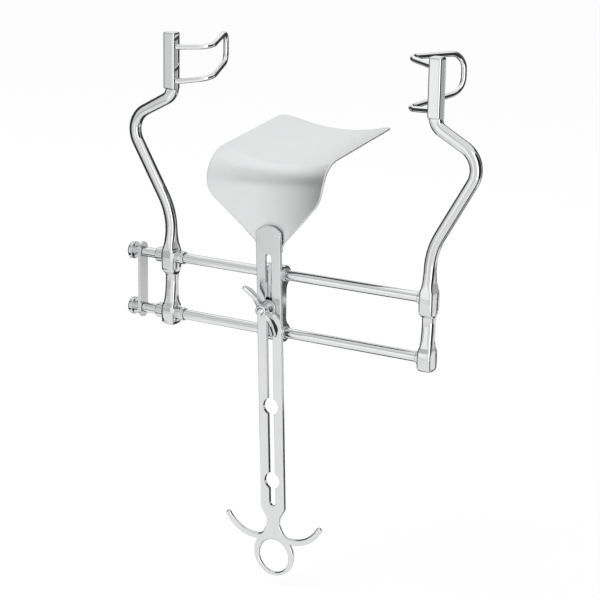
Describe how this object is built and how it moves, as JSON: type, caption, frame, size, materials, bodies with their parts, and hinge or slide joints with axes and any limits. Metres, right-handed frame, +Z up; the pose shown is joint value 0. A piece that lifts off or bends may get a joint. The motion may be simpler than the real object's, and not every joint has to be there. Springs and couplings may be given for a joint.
{
  "type": "abdominal retractor",
  "caption": "Self-retaining abdominal retractor: parallel guide rods, one fixed and one sliding arm with wire blades, and a saddle-shaped centre blade on a slotted shank.",
  "frame": {"origin": "middle of the tie plate's outer face, halfway between the two guide rods", "axes": "+X along the guide rods towards the fixed arm, +Y the way the blades point into the wound, +Z up along the arms"},
  "size_m": [0.2844, 0.1175, 0.3911],
  "materials": {
    "polished_steel": "mirror polished stainless steel",
    "satin_steel": "satin stainless steel"
  },
  "bodies": {
    "frame": {"tie_plate": "polished_steel", "upper_rod": "polished_steel", "lower_rod": "polished_steel", "upper_end_screw": "polished_steel", "lower_end_screw": "polished_steel", "right_arm": "polished_steel", "right_wire_blade": "polished_steel", "upper_rod_pin": "polished_steel", "lower_rod_pin": "polished_steel"},
    "sliding_arm": {"left_arm": "polished_steel", "left_wire_blade": "polished_steel", "upper_arm_bush": "polished_steel", "lower_arm_bush": "polished_steel"},
    "slider": {"cross_slider": "polished_steel", "upper_slider_bush": "polished_steel", "lower_slider_bush": "polished_steel", "clamp_stud": "polished_steel"},
    "washer": {"clamp_washer": "polished_steel"},
    "nut": {"wing_nut": "polished_steel"},
    "blade": {"blade_shank": "polished_steel", "centre_blade": "satin_steel"}
  },
  "joints": [
    {"name": "arm_slide", "type": "slide", "parent": "frame", "child": "sliding_arm", "axis": [1, 0, 0], "range_m": [-0.0125, 0.045]},
    {"name": "slider_slide", "type": "slide", "parent": "frame", "child": "slider", "axis": [1, 0, 0], "range_m": [-0.01, 0.095]},
    {"name": "blade_slide", "type": "slide", "parent": "slider", "child": "blade", "axis": [-0.0349, 0, 0.9994], "range_m": [-0.006, 0.146]},
    {"name": "washer_lift", "type": "slide", "parent": "slider", "child": "washer", "axis": [0, -1, 0], "range_m": [0, 0.0008]},
    {"name": "wing_nut_turn", "type": "hinge", "parent": "washer", "child": "nut", "pos_m": [0.1182, -0.0115, -0.002], "axis": [0, -1, 0], "range_deg": [-6, 366]}
  ],
  "couplings": [
    {"joint": "wing_nut_turn", "follows": "washer_lift", "rad_per_m": 7854}
  ]
}
